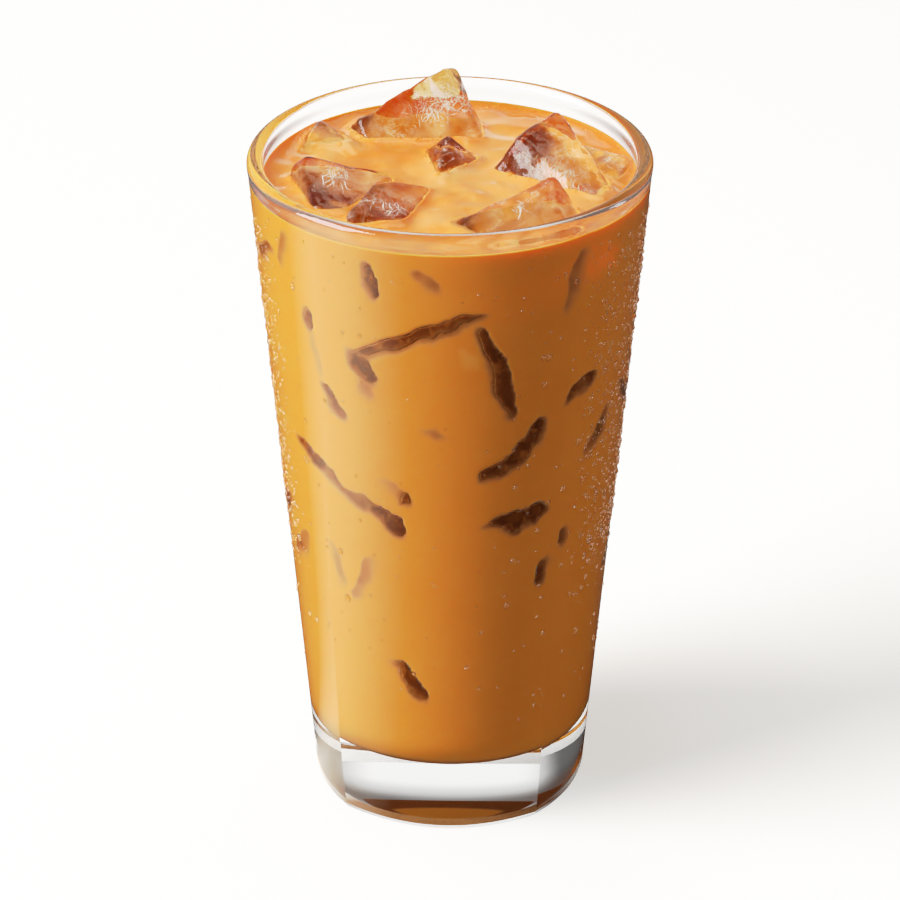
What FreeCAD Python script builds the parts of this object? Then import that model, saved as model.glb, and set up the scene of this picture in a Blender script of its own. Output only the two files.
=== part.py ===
import FreeCAD, Part
import math, os
from FreeCAD import Vector as V

# Iced milk coffee in a tall, heavy-based tumbler, with ice breaking the
# surface.  Millimetres, +Z up, origin at the centre of the resting ring.

# ---- driving dimensions: tumbler -------------------------------------------
GLASS_H = 152.7          # foot to top of lip
LIP_R_OUT = 43.18        # outer radius at the lip
LIP_T = 3.5              # lip thickness, fully rounded
CONE_R0 = 30.58          # radius of the body cone carried down to z = 0
CONE_SLOPE = 12.60 / 152.0
LIP_Z = 148.6             # height where the lip starts to thicken
WALL_TOP = 3.0           # wall thickness under the lip
WALL_LOW = 3.6           # wall thickness above the base
BASE_T = 15.4            # thickness of the solid glass base
BASE_FILLET = 8.5        # inside corner of the base
FOOT_R = 28.5            # radius of the resting ring
FOOT_BEVEL = 3.0         # height over which the foot rounds into the body
PUNT_R = 21.5            # shallow hollow under the base
PUNT_H = 0.95
PANEL_TOP = 95.0         # height where the four soft panels have faded out
PANEL_R = 1.17           # panel curvature radius over body radius, softness 1
FACET_TOP = 22.0         # the panels are at their sharpest up to here
FACET_SOFT = 1.6         # softness of the sharpest panels
CREASES = (-45.2, 36.0, 134.8, 216.0)   # crease directions, degrees from front

# ---- driving dimensions: contents ------------------------------------------
LEVEL = 146.5            # free surface of the coffee
ICE_GAP = 0.35           # ice stays this far off the glass
ICE_ROUND = 1.5          # melted edge radius

# Every ice piece: its top corner, three edge vectors (direction, length) and
# cuts where the cube has chipped or melted flat (point on the cut, outward).
ICE = {
    "ice_back": dict(
        corner=(-0.4, 31.6, 160.2),
        edges=(((-19.9, -8.1, -9.6), 28.0), ((7.5, -11.6, -13.3), 27.0), ((0.22, 0.86, -0.45), 8.8)),
        cuts=(((-20.4, 23.3, 150.3), (-0.85, -0.52, 0.0)), ((-0.6, 31.0, 159.1), (0.05, -0.10, 1.0)))),
    "ice_right": dict(
        corner=(14.1, 4.4, 154.9),
        edges=(((-5.5, -0.5, -8.4), 22.0), ((17.0, -15.9, -8.4), 27.5), ((9.0, 13.4, 0.3), 18.5)),
        cuts=(((23.9, 17.2, 155.0), (0.85, 0.30, 0.30)),)),
    "ice_front_right": dict(
        corner=(21.6, -10.9, 154.3),
        edges=(((-21.0, -9.3, -6.6), 27.0), ((5.4, -3.9, -6.8), 21.0), ((0.5, -10.3, -2.2), 15.0)),
        cuts=()),
    "ice_left": dict(
        corner=(-33.4, 2.1, 152.5),
        edges=(((28.3, -4.6, -4.9), 24.0), ((4.7, -17.9, -4.9), 20.5), ((-0.22, 0.05, -0.97), 19.0)),
        cuts=(((-30.3, 0.4, 151.8), (-0.62, -0.10, 0.76)), ((-16.4, -6.0, 150.6), (0.72, -0.52, 0.45)))),
    "ice_front_left": dict(
        corner=(-16.2, -6.3, 150.0),
        edges=(((11.8, 1.1, -2.1), 13.2), ((-6.3, -17.4, -0.6), 19.0), ((0.10, -0.22, -0.97), 17.0)),
        cuts=()),
    "ice_centre": dict(
        corner=(-0.3, 8.4, 154.0),
        edges=(((-2.3, -8.6, -6.9), 15.0), ((7.0, 1.6, -6.9), 14.0), ((-4.8, 7.2, -6.9), 12.0)),
        cuts=()),
    "ice_edge": dict(
        corner=(40.2, 6.6, 150.3),
        edges=(((-9.5, 9.0, -1.3), 15.5), ((-2.6, -8.5, -2.6), 13.5), ((-0.35, 0.0, -0.94), 14.0)),
        cuts=()),
    "ice_low": dict(
        corner=(-28.7, 26.8, 150.2),
        edges=(((-3.5, -8.6, -2.6), 14.0), ((6.1, -6.2, -2.6), 13.0), ((0.05, 0.25, -0.97), 13.0)),
        cuts=()),
}


def body_r(z):
    return CONE_R0 + CONE_SLOPE * z


def wall(z):
    return WALL_LOW + (WALL_TOP - WALL_LOW) * (z - BASE_T) / (GLASS_H - BASE_T)


def polar(r, deg, z):
    a = math.radians(deg)
    return V(r * math.sin(a), -r * math.cos(a), z)


def ring(r, z, soft):
    """Four arcs between the creases.  soft = 0 gives a circle of radius r;
    soft = 1 gives panels of the full soft-square curvature, whose middles
    stay on radius r while the creases stand out."""
    edges = []
    n = len(CREASES)
    for i in range(n):
        a = CREASES[i]
        b = CREASES[(i + 1) % n]
        if b < a:
            b += 360.0
        mid = 0.5 * (a + b)
        # crease radius: where neighbouring panel arcs of radius k*r meet
        edges.append(Part.Arc(polar(crease_r(r, a, soft), a, z),
                              polar(r, mid, z),
                              polar(crease_r(r, b, soft), b, z)).toShape())
    return Part.Wire(edges)


def crease_r(r, deg, soft):
    k = 1.0 + (PANEL_R - 1.0) * soft
    half = math.radians(48.0)
    # arc of radius k*r centred (k-1)*r behind the axis, met at the half angle
    c = (k - 1.0) * r
    return -c * math.cos(half) + math.sqrt((k * r) ** 2 - (c * math.sin(half)) ** 2)


def revolve(points, z_axis=V(0, 0, 1)):
    """Solid of revolution from a closed outline of (r, z) points; an item
    ("arc", mid, end) makes a three-point arc from the last point."""
    edges = []
    last = None
    first = None
    for p in points:
        if p[0] == "arc":
            m = V(p[1][0], 0, p[1][1])
            e = V(p[2][0], 0, p[2][1])
            edges.append(Part.Arc(last, m, e).toShape())
            last = e
        else:
            q = V(p[0], 0, p[1])
            if last is None:
                first = q
            else:
                edges.append(Part.LineSegment(last, q).toShape())
            last = q
    if (last - first).Length > 1e-6:
        edges.append(Part.LineSegment(last, first).toShape())
    face = Part.Face(Part.Wire(edges))
    return face.revolve(V(0, 0, 0), z_axis, 360)


def inner_r(z):
    return body_r(z) - wall(z)


def cavity(top_z, inset=0.0):
    """Inside of the tumbler up to top_z, shrunk by inset."""
    z0 = BASE_T + inset
    f = BASE_FILLET
    rb = inner_r(z0 + f) - inset
    s = f * (1 - math.sqrt(0.5))
    return revolve([
        (0, z0), (rb - f, z0),
        ("arc", (rb - s, z0 + s), (rb, z0 + f)),
        (inner_r(top_z) - inset, top_z), (0, top_z)])


def tumbler():
    # rounded foot and panelled lower body
    rb = body_r(FOOT_BEVEL)
    levels = [ring(FOOT_R, 0.0, 0.45)]
    steps = 4
    for i in range(1, steps + 1):
        t = math.radians(90.0 * i / steps)
        r = FOOT_R + (rb - FOOT_R) * math.sin(t)
        z = FOOT_BEVEL * (1 - math.cos(t))
        levels.append(ring(r, z, 0.45 + (FACET_SOFT - 0.45) * i / steps))
    levels.append(ring(body_r(FACET_TOP), FACET_TOP, FACET_SOFT))
    levels.append(ring(body_r(PANEL_TOP), PANEL_TOP, 0.0))
    lower = Part.makeLoft(levels, True, True)
    lower = lower.cut(cavity(PANEL_TOP + 5.0))
    # upper body and lip, one hollow section turned about the axis
    rc = LIP_R_OUT - LIP_T / 2
    zc = GLASS_H - LIP_T / 2
    q = LIP_T / 2 * math.sqrt(0.5)
    upper = revolve([
        (inner_r(PANEL_TOP), PANEL_TOP), (body_r(PANEL_TOP), PANEL_TOP),
        (body_r(LIP_Z), LIP_Z), (LIP_R_OUT, zc),
        ("arc", (rc + q, zc + q), (rc, GLASS_H)),
        ("arc", (rc - q, zc + q), (rc - LIP_T / 2, zc)),
        (inner_r(LIP_Z), LIP_Z)])
    # dished underside: a spherical cap
    rad = (PUNT_R ** 2 + PUNT_H ** 2) / (2 * PUNT_H)
    punt = Part.makeSphere(rad, V(0, 0, PUNT_H - rad))
    glass = lower.fuse(upper).cut(punt)
    return glass.removeSplitter()


def half_space(point, normal, size=160.0):
    """A big box that starts at point and fills the side normal points to."""
    box = Part.makeBox(size, size, size, V(-size / 2, -size / 2, 0))
    n = V(*normal)
    rot = FreeCAD.Rotation(V(0, 0, 1), n)
    box.Placement = FreeCAD.Placement(V(*point), rot)
    return box


def lump(spec):
    """A chipped, melted ice cube."""
    t = V(*spec["corner"])
    e = []
    for d, ln in spec["edges"]:
        v = V(*d)
        v.normalize()
        e.append(v * ln)
    if e[0].cross(e[1]).dot(e[2]) > 0:      # keeps the faces turned outwards
        e[1], e[2] = e[2], e[1]
    c = [t, t + e[0], t + e[1], t + e[2], t + e[0] + e[1], t + e[1] + e[2],
         t + e[0] + e[2], t + e[0] + e[1] + e[2]]
    quads = ((0, 1, 4, 2), (0, 2, 5, 3), (0, 3, 6, 1), (7, 5, 2, 4), (7, 6, 3, 5), (7, 4, 1, 6))
    faces = [Part.Face(Part.makePolygon([c[i] for i in q] + [c[q[0]]])) for q in quads]
    body = Part.Solid(Part.Shell(faces))
    def chip(b):
        for p, n in spec["cuts"]:
            b = b.cut(half_space(p, n))
        return b.Solids[0]

    def melt(b):
        for r in (ICE_ROUND, 0.85 * ICE_ROUND, 0.7 * ICE_ROUND, 0.5 * ICE_ROUND):
            try:
                f = b.makeFillet(r, b.Edges)
                if f.isValid() and f.Solids and 0.75 * b.Volume < f.Volume < b.Volume:
                    return f.Solids[0], r
            except Exception:
                pass
        return b, 0.0

    chipped = chip(body)
    soft, r = melt(chipped)
    if r == 0.0:
        soft, r = melt(body)
        soft = chip(soft)
    return soft, r


os.makedirs("parts", exist_ok=True)
glass = tumbler()
glass.exportStep("parts/glass.step")
print("glass", glass.isValid(), len(glass.Solids), round(glass.Volume / 1000, 1), "cm3", glass.BoundBox)

room = cavity(146.0, ICE_GAP)
room = room.fuse(revolve([
    (0, 145.0), (inner_r(145.0) - ICE_GAP, 145.0), (inner_r(148.0) - ICE_GAP, 148.0),
    (39.1, 150.0), (39.1, 170.0), (0, 170.0)]))
done = []
for name, spec in ICE.items():
    piece, r = lump(spec)
    piece = piece.common(room)
    for other in done:
        if piece.distToShape(other)[0] < 1e-6:
            piece = piece.cut(other)
    solids = sorted(piece.Solids, key=lambda s: -s.Volume)
    piece = solids[0]
    print(name, piece.isValid(), "round", r, "solids", len(solids), round(piece.Volume / 1000, 2), "cm3",
          "top %.1f" % piece.BoundBox.ZMax, "low %.1f" % piece.BoundBox.ZMin)
    piece.exportStep("parts/%s.step" % name)
    done.append(piece)

coffee = cavity(LEVEL)
for piece in done:
    coffee = coffee.cut(piece)
coffee = sorted(coffee.Solids, key=lambda s: -s.Volume)[0]
coffee.exportStep("parts/coffee.step")
print("coffee", coffee.isValid(), round(coffee.Volume / 1000, 1), "cm3")
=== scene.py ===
import bpy
import math
import numpy as np
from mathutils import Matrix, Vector
from mathutils.bvhtree import BVHTree

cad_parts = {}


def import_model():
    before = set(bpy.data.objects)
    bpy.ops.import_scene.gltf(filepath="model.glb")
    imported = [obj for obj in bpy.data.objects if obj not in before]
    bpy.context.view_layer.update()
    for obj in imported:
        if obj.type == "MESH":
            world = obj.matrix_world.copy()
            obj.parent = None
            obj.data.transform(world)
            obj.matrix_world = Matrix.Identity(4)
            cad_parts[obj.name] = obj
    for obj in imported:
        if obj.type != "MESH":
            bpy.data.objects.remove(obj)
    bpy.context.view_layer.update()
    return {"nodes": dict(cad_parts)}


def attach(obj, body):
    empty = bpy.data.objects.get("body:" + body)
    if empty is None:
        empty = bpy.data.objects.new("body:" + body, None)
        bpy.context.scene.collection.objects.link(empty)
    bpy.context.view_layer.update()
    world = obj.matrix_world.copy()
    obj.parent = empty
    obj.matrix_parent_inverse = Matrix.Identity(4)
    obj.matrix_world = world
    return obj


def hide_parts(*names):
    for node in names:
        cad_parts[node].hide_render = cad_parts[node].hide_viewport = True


# Looks for a tumbler of iced milk coffee.  Lengths below are millimetres;
# meshes are scaled to metres when they are made.
MM = 0.001

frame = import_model()
NODES = frame["nodes"]

# ---- sizes shared with the CAD part ----------------------------------------
GLASS_H, LIP_R_OUT, LIP_T, LIP_Z = 152.7, 43.18, 3.5, 148.6
CONE_R0, CONE_SLOPE = 30.58, 12.60 / 152.0
WALL_TOP, WALL_LOW = 3.0, 3.6
BASE_T, BASE_FILLET = 15.4, 8.5
FOOT_R, FOOT_BEVEL = 28.5, 3.0
PUNT_R, PUNT_H = 21.5, 0.95
PANEL_TOP, PANEL_R = 95.0, 1.17
FACET_TOP, FACET_SOFT = 22.0, 1.6
CREASES = (-45.2, 36.0, 134.8, 216.0)
LEVEL = 146.5
INTO_WALL = 0.10          # the coffee reaches this far into the glass
MENISCUS, MEN_L = 1.35, 1.3
ICE_MEN, ICE_MEN_L = 0.8, 0.9
ICE_NAMES = ("ice_back", "ice_right", "ice_front_right", "ice_left",
             "ice_front_left", "ice_centre", "ice_edge", "ice_low")


def body_r(z):
    return CONE_R0 + CONE_SLOPE * z


def wall(z):
    return WALL_LOW + (WALL_TOP - WALL_LOW) * (z - BASE_T) / (GLASS_H - BASE_T)


def inner_r(z):
    return body_r(z) - wall(z)


def section_r(r, deg, soft):
    """Radius of the four-panel section at angles deg."""
    k = 1.0 + (PANEL_R - 1.0) * soft
    h0 = math.radians(48.0)
    c0 = (k - 1.0) * r
    rc = -c0 * math.cos(h0) + math.sqrt((k * r) ** 2 - (c0 * math.sin(h0)) ** 2)
    out = np.full(deg.shape, float(r))
    if soft < 1e-6:
        return out
    for i in range(4):
        a, b = CREASES[i], CREASES[(i + 1) % 4]
        if b < a:
            b += 360.0
        half, mid = math.radians(0.5 * (b - a)), 0.5 * (a + b)
        c = (rc * rc - r * r) / (2 * (r - rc * math.cos(half)))
        phi = np.radians((deg - mid + 180.0) % 360.0 - 180.0)
        on = np.abs(phi) <= half + 1e-9
        rad = -c * np.cos(phi) + np.sqrt((r + c) ** 2 - (c * np.sin(phi)) ** 2)
        out[on] = rad[on]
    return out


def outer_r(z, deg):
    """Outside radius of the tumbler at height z, for angles deg."""
    if z >= PANEL_TOP:
        return np.full(deg.shape, body_r(z))
    if z >= FACET_TOP:
        t = (z - FACET_TOP) / (PANEL_TOP - FACET_TOP)
        return (section_r(body_r(FACET_TOP), deg, FACET_SOFT) * (1 - t)
                + body_r(PANEL_TOP) * t)
    if z >= FOOT_BEVEL:
        t = (z - FOOT_BEVEL) / (FACET_TOP - FOOT_BEVEL)
        return (section_r(body_r(FOOT_BEVEL), deg, FACET_SOFT) * (1 - t)
                + section_r(body_r(FACET_TOP), deg, FACET_SOFT) * t)
    t = math.acos(max(-1.0, min(1.0, 1 - z / FOOT_BEVEL)))
    r = FOOT_R + (body_r(FOOT_BEVEL) - FOOT_R) * math.sin(t)
    return section_r(r, deg, 0.45 + (FACET_SOFT - 0.45) * t / (math.pi / 2))


# ---- small helpers -----------------------------------------------------------
def waves(points, size, seed, n=28):
    """Smooth random field of about unit strength; size is its grain."""
    g = np.random.default_rng(seed)
    d = g.normal(size=(n, points.shape[1]))
    d /= np.linalg.norm(d, axis=1)[:, None]
    k = d * (2 * math.pi / size) * g.uniform(0.5, 1.5, n)[:, None]
    ph = g.uniform(0, 2 * math.pi, n)
    out = np.zeros(len(points))
    for i in range(n):
        out += np.sin(points @ k[i] + ph[i])
    return out * math.sqrt(2.0 / n)


def smooth01(x):
    x = np.clip(x, 0.0, 1.0)
    return x * x * (3 - 2 * x)


def make_mesh(name, verts, faces, smooth=True):
    me = bpy.data.meshes.new(name)
    verts = np.asarray(verts, float) * MM
    me.from_pydata(verts.tolist(), [], faces)
    me.update()
    if smooth:
        me.polygons.foreach_set("use_smooth", np.ones(len(me.polygons), bool))
    ob = bpy.data.objects.new(name, me)
    bpy.context.scene.collection.objects.link(ob)
    return ob


def grid_faces(rows, n, offset=0, closed=True):
    """Quads between successive rings of n points, wound outwards for rings
    that climb anticlockwise."""
    f = []
    for i in range(rows - 1):
        a = offset + i * n
        b = a + n
        for j in range(n if closed else n - 1):
            k = (j + 1) % n
            f.append((a + j, a + k, b + k, b + j))
    return f


def ring_points(rad, z, deg):
    t = np.radians(deg)
    z = np.broadcast_to(z, t.shape)
    return np.stack([rad * np.sin(t), -rad * np.cos(t), z], 1)


def set_attr(ob, name, values):
    at = ob.data.attributes.new(name, "FLOAT", "POINT")
    at.data.foreach_set("value", np.asarray(values, np.float32))


def verts_of(ob):
    co = np.zeros(len(ob.data.vertices) * 3)
    ob.data.vertices.foreach_get("co", co)
    return co.reshape(-1, 3) / MM


def put_verts(ob, co):
    ob.data.vertices.foreach_set("co", (co * MM).ravel())
    ob.data.update()


def normals_of(ob):
    n = np.zeros(len(ob.data.vertices) * 3)
    ob.data.vertices.foreach_get("normal", n)
    return n.reshape(-1, 3)


def apply_mods(ob):
    dg = bpy.context.evaluated_depsgraph_get()
    me = bpy.data.meshes.new_from_object(ob.evaluated_get(dg))
    ob.modifiers.clear()
    old = ob.data
    ob.data = me
    bpy.data.meshes.remove(old)


def bvh_of(ob):
    co = verts_of(ob)
    return BVHTree.FromPolygons([tuple(c) for c in co],
                                [tuple(p.vertices) for p in ob.data.polygons])


# ---- materials ---------------------------------------------------------------
class Nodes:
    """Short way to build a node tree."""

    def __init__(self, name):
        self.mat = bpy.data.materials.new(name)
        self.mat.use_nodes = True
        self.t = self.mat.node_tree
        self.t.nodes.clear()
        self.out = self.t.nodes.new("ShaderNodeOutputMaterial")

    def add(self, kind, **inputs):
        n = self.t.nodes.new(kind)
        for k, v in inputs.items():
            self.set(n, k.replace("_", " "), v)
        return n

    def set(self, n, key, v):
        s = n.inputs[key]
        if isinstance(v, bpy.types.NodeSocket):
            self.t.links.new(v, s)
        else:
            s.default_value = v

    def link(self, a, b):
        self.t.links.new(a, b)

    def math(self, op, a, b=None, clamp=False):
        n = self.t.nodes.new("ShaderNodeMath")
        n.operation = op
        n.use_clamp = clamp
        for i, v in enumerate((a, b)):
            if v is None:
                continue
            if isinstance(v, bpy.types.NodeSocket):
                self.t.links.new(v, n.inputs[i])
            else:
                n.inputs[i].default_value = v
        return n.outputs[0]

    def mix(self, fac, a, b):
        n = self.t.nodes.new("ShaderNodeMix")
        n.data_type = "RGBA"
        for s, v in ((n.inputs[0], fac), (n.inputs[6], a), (n.inputs[7], b)):
            if isinstance(v, bpy.types.NodeSocket):
                self.t.links.new(v, s)
            else:
                s.default_value = v
        return n.outputs[2]

    def ramp(self, fac, stops):
        n = self.t.nodes.new("ShaderNodeValToRGB")
        r = n.color_ramp
        while len(r.elements) < len(stops):
            r.elements.new(0.5)
        for e, (p, c) in zip(r.elements, stops):
            e.position = p
            e.color = c
        self.t.links.new(fac, n.inputs[0])
        return n.outputs[0]

    def attr(self, name):
        n = self.t.nodes.new("ShaderNodeAttribute")
        n.attribute_name = name
        return n.outputs["Fac"]

    def noise(self, scale, detail=2.0, rough=0.5, distort=0.0):
        tc = self.t.nodes.new("ShaderNodeTexCoord")
        n = self.t.nodes.new("ShaderNodeTexNoise")
        n.inputs["Scale"].default_value = scale
        n.inputs["Detail"].default_value = detail
        n.inputs["Roughness"].default_value = rough
        n.inputs["Distortion"].default_value = distort
        self.t.links.new(tc.outputs["Object"], n.inputs["Vector"])
        return n.outputs["Fac"]

    def surface(self, shader):
        self.t.links.new(shader, self.out.inputs["Surface"])

    def see_through(self, shader, tint=(1, 1, 1, 1)):
        """Shadow and diffuse rays pass straight through clear matter."""
        lp = self.t.nodes.new("ShaderNodeLightPath")
        fac = self.math("MAXIMUM", lp.outputs["Is Shadow Ray"], lp.outputs["Is Diffuse Ray"])
        tr = self.t.nodes.new("ShaderNodeBsdfTransparent")
        tr.inputs[0].default_value = tint
        mx = self.t.nodes.new("ShaderNodeMixShader")
        self.t.links.new(fac, mx.inputs[0])
        self.t.links.new(shader, mx.inputs[1])
        self.t.links.new(tr.outputs[0], mx.inputs[2])
        self.surface(mx.outputs[0])


def rgb(r, g, b):
    return (r, g, b, 1.0)


def clear(name, ior, rough=0.0, tint=(1, 1, 1, 1), shade=(1, 1, 1, 1)):
    m = Nodes(name)
    p = m.add("ShaderNodeBsdfPrincipled", Base_Color=tint, Roughness=rough,
              IOR=ior, Transmission_Weight=1.0)
    m.see_through(p.outputs[0], shade)
    return m.mat


MAT_GLASS = clear("clear_glass", 1.5, tint=rgb(0.985, 0.992, 0.990), shade=rgb(0.97, 0.975, 0.972))
MAT_WATER = clear("condensation_water", 1.33)

COFFEE = rgb(0.84, 0.262, 0.034)


def coffee_side():
    m = Nodes("coffee_side")
    film_and_shade = m.attr("film_and_shade")
    painted_highlight = m.attr("painted_highlight")
    n = m.noise(90.0, 3.0, 0.55)
    body = m.mix(m.math("MULTIPLY", m.math("SUBTRACT", n, 0.35, True), 0.9, True),
                 rgb(0.82, 0.250, 0.030), rgb(0.86, 0.285, 0.042))
    # painted highlight: the highlight strokes lift the coffee towards pale orange
    body = m.mix(painted_highlight, body, rgb(0.95, 0.42, 0.10))
    # painted shade: where ice touches the wall the coffee is painted towards deep brown, the shade seen behind the
    # clear ice
    dark = m.ramp(film_and_shade, [(0.0, rgb(0.78, 0.255, 0.045)), (0.20, rgb(0.60, 0.205, 0.052)),
                         (0.42, rgb(0.36, 0.105, 0.024)), (0.70, rgb(0.19, 0.042, 0.006)),
                         (1.0, rgb(0.085, 0.014, 0.0018))])
    col = m.mix(m.math("MULTIPLY", film_and_shade, 4.0, True), body, dark)
    p = m.add("ShaderNodeBsdfPrincipled", Base_Color=col, Roughness=0.35,
              IOR=1.35, Specular_IOR_Level=0.0, Subsurface_Weight=0.75,
              Subsurface_Radius=(1.0, 0.45, 0.2), Subsurface_Scale=0.0022)
    m.surface(p.outputs[0])
    return m.mat


def coffee_top():
    m = Nodes("coffee_top")
    n = m.noise(24.0, 2.0, 0.5, 1.4)
    k = m.noise(75.0, 2.0, 0.5, 0.8)
    v = m.math("ADD", m.math("MULTIPLY", n, 0.75), m.math("MULTIPLY", k, 0.25))
    col = m.ramp(v, [(0.34, rgb(0.80, 0.170, 0.014)), (0.46, rgb(0.87, 0.225, 0.034)),
                     (0.56, rgb(0.91, 0.290, 0.078)), (0.72, rgb(0.95, 0.40, 0.16))])
    geo = m.t.nodes.new("ShaderNodeNewGeometry")
    sep = m.t.nodes.new("ShaderNodeSeparateXYZ")
    m.link(geo.outputs["Position"], sep.inputs[0])
    rr = m.math("SQRT", m.math("ADD", m.math("MULTIPLY", sep.outputs[0], sep.outputs[0]),
                               m.math("MULTIPLY", sep.outputs[1], sep.outputs[1])))
    # painted shade: the top is painted darker and redder close to the glass wall
    rim = m.math("MULTIPLY", m.math("SUBTRACT", rr, 0.0325), 180.0, True)
    col = m.mix(m.math("MULTIPLY", rim, 0.85), col, rgb(0.76, 0.165, 0.014))
    p = m.add("ShaderNodeBsdfPrincipled", Base_Color=col, Roughness=0.07,
              IOR=1.34, Subsurface_Weight=0.75,
              Subsurface_Radius=(1.0, 0.45, 0.2), Subsurface_Scale=0.002)
    m.surface(p.outputs[0])
    return m.mat


def coffee_pit():
    m = Nodes("coffee_under_ice")
    geo = m.t.nodes.new("ShaderNodeNewGeometry")
    sep = m.t.nodes.new("ShaderNodeSeparateXYZ")
    m.link(geo.outputs["Position"], sep.inputs[0])
    nrm = m.t.nodes.new("ShaderNodeSeparateXYZ")
    m.link(geo.outputs["Normal"], nrm.inputs[0])
    # painted shade: light and dark copies of the pit colour; darker deeper below the surface, on faces turned to +x
    # away from the key light on the left, and a little on faces turned up
    turned = m.math("ADD", m.math("MULTIPLY", nrm.outputs[0], 0.62), m.math("MULTIPLY", nrm.outputs[2], 0.10))
    deep = m.math("MULTIPLY", m.math("SUBTRACT", LEVEL * MM, sep.outputs[2]), 38.0, True)
    deep = m.math("ADD", m.math("ADD", deep, turned), 0.14, True)
    n = m.noise(150.0, 3.0, 0.6, 0.8)
    streak = m.math("MULTIPLY", m.math("SUBTRACT", n, 0.40, True), 3.6, True)
    light = m.mix(streak, rgb(0.86, 0.285, 0.052), rgb(0.95, 0.49, 0.22))
    dark = m.mix(streak, rgb(0.42, 0.125, 0.014), rgb(0.76, 0.28, 0.050))
    col = m.mix(deep, light, dark)
    ridge = m.math("ABSOLUTE", m.math("SUBTRACT", m.noise(240.0, 3.0, 0.6, 1.8), 0.5))
    line = m.math("SUBTRACT", 1.0, m.math("MULTIPLY", ridge, 30.0), True)
    patch = m.math("MULTIPLY", m.math("SUBTRACT", m.noise(95.0, 2.0, 0.5, 0.4), 0.48, True), 6.0, True)
    col = m.mix(m.math("MULTIPLY", m.math("MULTIPLY", line, patch), 0.75), col, rgb(0.93, 0.76, 0.58))
    p = m.add("ShaderNodeBsdfPrincipled", Base_Color=col, Roughness=0.4,
              Specular_IOR_Level=0.0)
    m.surface(p.outputs[0])
    return m.mat


MAT_SIDE, MAT_TOP, MAT_PIT = coffee_side(), coffee_top(), coffee_pit()


# ---- tumbler -----------------------------------------------------------------
def build_glass():
    n = 288
    deg = np.arange(n) * 360.0 / n
    cols = []
    for c in CREASES:
        cols.append(int(round((c % 360.0) / 360.0 * n)) % n)
        deg[cols[-1]] = c % 360.0
    rows = []
    rad = (PUNT_R ** 2 + PUNT_H ** 2) / (2 * PUNT_H)
    for r in np.linspace(1.2, PUNT_R, 16):
        z = math.sqrt(rad * rad - r * r) + PUNT_H - rad
        rows.append(ring_points(np.full(n, r), max(z, 0.0), deg))
    foot = section_r(FOOT_R, deg, 0.45)
    for t in (0.25, 0.55, 0.85):
        rows.append(ring_points(PUNT_R + (foot - PUNT_R) * t, 0.0, deg))
    for t in np.linspace(0, math.pi / 2, 12):
        z = FOOT_BEVEL * (1 - math.cos(t))
        rows.append(ring_points(outer_r(z, deg), z, deg))
    for z in np.linspace(FOOT_BEVEL, PANEL_TOP, 40)[1:]:
        rows.append(ring_points(outer_r(z, deg), z, deg))
    for z in np.linspace(PANEL_TOP, LIP_Z, 18)[1:]:
        rows.append(ring_points(outer_r(z, deg), z, deg))
    rc, zc, hr = LIP_R_OUT - LIP_T / 2, GLASS_H - LIP_T / 2, LIP_T / 2
    for t in (0.35, 0.7):
        z = LIP_Z + (zc - LIP_Z) * t
        s = smooth01(np.array(t))
        rows.append(ring_points(np.full(n, body_r(LIP_Z) + (LIP_R_OUT - body_r(LIP_Z)) * s), z, deg))
    for a in np.linspace(0, math.pi, 22):
        rows.append(ring_points(np.full(n, rc + hr * math.cos(a)), zc + hr * math.sin(a), deg))
    for t in (0.35, 0.7):
        z = zc + (LIP_Z - zc) * t
        s = smooth01(np.array(t))
        rows.append(ring_points(np.full(n, (rc - hr) + (inner_r(LIP_Z) - (rc - hr)) * s), z, deg))
    for z in np.linspace(LIP_Z, BASE_T + BASE_FILLET, 46):
        rows.append(ring_points(np.full(n, inner_r(z)), z, deg))
    rb = inner_r(BASE_T + BASE_FILLET)
    for a in np.linspace(0, math.pi / 2, 9)[1:]:
        rows.append(ring_points(np.full(n, rb - BASE_FILLET + BASE_FILLET * math.cos(a)),
                                BASE_T + BASE_FILLET - BASE_FILLET * math.sin(a), deg))
    for r in np.linspace(rb - BASE_FILLET, 1.2, 12)[1:]:
        rows.append(ring_points(np.full(n, r), BASE_T, deg))
    v = np.concatenate(rows)
    f = grid_faces(len(rows), n)
    c0, c1 = len(v), len(v) + 1
    v = np.vstack([v, [0, 0, PUNT_H], [0, 0, BASE_T]])
    last = (len(rows) - 1) * n
    for j in range(n):
        k = (j + 1) % n
        f.append((c0, k, j))
        f.append((c1, last + j, last + k))
    ob = make_mesh("glass_clear", v, f)
    # the panels meet in crisp lines low down and fade into the round wall
    e = np.empty(2 * len(ob.data.edges), np.int64)
    ob.data.edges.foreach_get("vertices", e)
    a, b = e[::2], e[1::2]
    body = len(v) - 2
    out = (a < body) & (b < body) & (a % n == b % n) & np.isin(a % n, cols)
    rad = np.hypot(v[:, 0], v[:, 1])
    out &= (rad[a] > FOOT_R - 2) & (v[a, 2] < 60.0) & (rad[a] > inner_r(v[a, 2]) + 1.0)
    sharp = ob.data.attributes.new("sharp_edge", "BOOLEAN", "EDGE")
    sharp.data.foreach_set("value", out)
    ob.data.materials.append(MAT_GLASS)
    return ob


glass = build_glass()
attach(glass, "root")
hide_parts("glass")


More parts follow.
